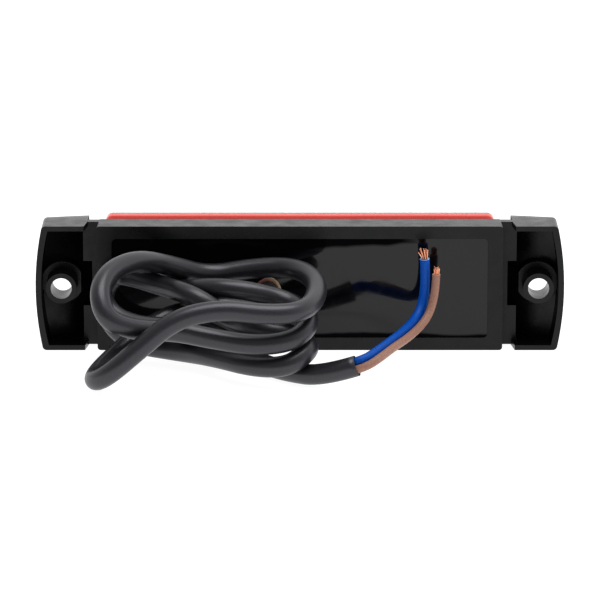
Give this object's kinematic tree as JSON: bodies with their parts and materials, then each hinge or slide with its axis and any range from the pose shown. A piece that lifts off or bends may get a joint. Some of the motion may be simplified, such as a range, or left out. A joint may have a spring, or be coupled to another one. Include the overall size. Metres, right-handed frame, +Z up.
{
  "type": "trailer tail light",
  "caption": "Slim sealed rear lamp for a trailer: black base with a screw ear at each end, bonded red lens, inner LED board and a flying two-core lead.",
  "frame": {"origin": "on the mounting plane, midway between the two screw holes", "axes": "+X along the lamp, +Y from the mounting face out to the lens, +Z up"},
  "size_m": [0.13, 0.067, 0.0314],
  "materials": {
    "black_abs": "moulded black ABS, satin with a glossier back panel",
    "red_lens": "clear red acrylic",
    "adhesive": "cured clear adhesive",
    "red_reflex": "clear red acrylic prisms",
    "bright_bezel": "vacuum-metallised ABS",
    "board": "green solder mask on glass epoxy",
    "white_plastic": "white moulded plastic",
    "led_lens": "clear silicone",
    "chip_black": "moulded epoxy",
    "tan_ceramic": "sintered ceramic",
    "solder": "bright solder",
    "potting_resin": "cured black resin",
    "tan_resin": "cured tan sealing resin",
    "cable_grey": "satin dark grey PVC",
    "core_blue": "satin blue PVC",
    "core_brown": "satin light brown PVC",
    "bare_copper": "bare copper strands"
  },
  "bodies": {
    "root": {"base_housing": "black_abs", "lens": "red_lens", "lens_adhesive": "adhesive", "reflex_reflector": "red_reflex", "reflex_backing": "black_abs", "light_bezel": "bright_bezel", "circuit_board": "board", "led_packages": "white_plastic", "led_domes": "led_lens", "resistors": "chip_black", "polarity_diode": "chip_black", "surge_suppressor": "chip_black", "filter_capacitor": "tan_ceramic", "current_regulator": "chip_black", "solder_joints": "solder", "potting_compound": "potting_resin", "entry_sealant": "tan_resin", "inner_cable_tie": "white_plastic", "sheath_inside": "cable_grey", "blue_lead_inside": "core_blue", "brown_lead_inside": "core_brown", "cable_sheath": "cable_grey", "blue_core": "core_blue", "brown_core": "core_brown", "blue_strands": "bare_copper", "brown_strands": "bare_copper"}
  },
  "joints": []
}
